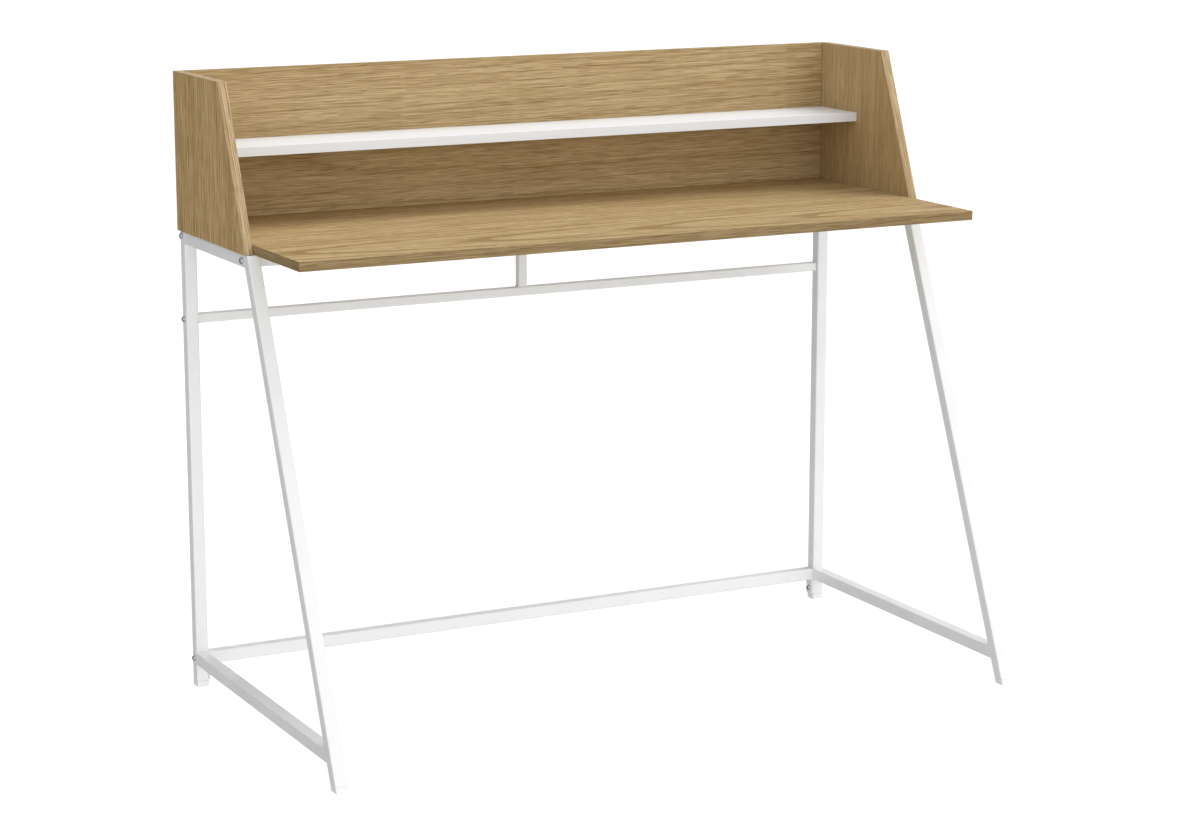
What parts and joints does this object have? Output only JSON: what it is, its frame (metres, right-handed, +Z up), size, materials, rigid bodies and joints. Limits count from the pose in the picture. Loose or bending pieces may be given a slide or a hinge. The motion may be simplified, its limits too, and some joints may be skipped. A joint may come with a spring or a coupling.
{
  "type": "computer desk",
  "caption": "Computer desk with a low shelved hutch: laminate desktop, slanted side panels and back on a bolted square-tube frame with raked front legs.",
  "frame": {"origin": "on the floor, under the middle of the desk's bounding box", "axes": "+X to the right as seen from the chair, +Y to the back, +Z up"},
  "size_m": [1.2, 0.619, 1.0023],
  "materials": {
    "oak_laminate": "oak-print laminate, satin",
    "white_laminate": "white laminate, satin",
    "white_powder_coat": "white powder coat, satin",
    "white_plastic": "moulded, matte",
    "zinc_plated_steel": "bright zinc plate",
    "beech": "bare turned wood"
  },
  "bodies": {
    "root": {"back_panel": "oak_laminate", "bottom_stretcher": "white_powder_coat", "desktop": "oak_laminate", "front_crossbar": "white_powder_coat", "front_desktop_screw_1": "zinc_plated_steel", "front_desktop_screw_2": "zinc_plated_steel", "front_desktop_screw_3": "zinc_plated_steel", "front_desktop_screw_4": "zinc_plated_steel", "left_back_cam": "zinc_plated_steel", "left_back_cam_bolt": "zinc_plated_steel", "left_back_dowel": "beech", "left_bottom_rail": "white_powder_coat", "left_crossbar_bolt": "zinc_plated_steel", "left_ear_screw": "zinc_plated_steel", "left_front_desktop_cam": "zinc_plated_steel", "left_front_desktop_cam_bolt": "zinc_plated_steel", "left_front_foot": "white_plastic", "left_front_leg": "white_powder_coat", "left_front_shelf_dowel": "beech", "left_rear_desktop_cam": "zinc_plated_steel", "left_rear_desktop_cam_bolt": "zinc_plated_steel", "left_rear_foot": "white_plastic", "left_rear_leg": "white_powder_coat", "left_rear_mid_bolt": "zinc_plated_steel", "left_rear_shelf_dowel": "beech", "left_rear_top_bolt": "zinc_plated_steel", "left_side_panel": "oak_laminate", "left_stretcher_bolt": "zinc_plated_steel", "left_top_rail": "white_powder_coat", "rear_centre_post": "white_powder_coat", "rear_desktop_screw_1": "zinc_plated_steel", "rear_desktop_screw_2": "zinc_plated_steel", "rear_desktop_screw_3": "zinc_plated_steel", "rear_desktop_screw_4": "zinc_plated_steel", "rear_mid_rail": "white_powder_coat", "rear_top_rail": "white_powder_coat", "right_back_cam": "zinc_plated_steel", "right_back_cam_bolt": "zinc_plated_steel", "right_back_dowel": "beech", "right_bottom_rail": "white_powder_coat", "right_crossbar_bolt": "zinc_plated_steel", "right_ear_screw": "zinc_plated_steel", "right_front_desktop_cam": "zinc_plated_steel", "right_front_desktop_cam_bolt": "zinc_plated_steel", "right_front_foot": "white_plastic", "right_front_leg": "white_powder_coat", "right_front_shelf_dowel": "beech", "right_rear_desktop_cam": "zinc_plated_steel", "right_rear_desktop_cam_bolt": "zinc_plated_steel", "right_rear_foot": "white_plastic", "right_rear_leg": "white_powder_coat", "right_rear_mid_bolt": "zinc_plated_steel", "right_rear_shelf_dowel": "beech", "right_rear_top_bolt": "zinc_plated_steel", "right_side_panel": "oak_laminate", "right_stretcher_bolt": "zinc_plated_steel", "right_top_rail": "white_powder_coat", "shelf": "white_laminate"}
  },
  "joints": []
}
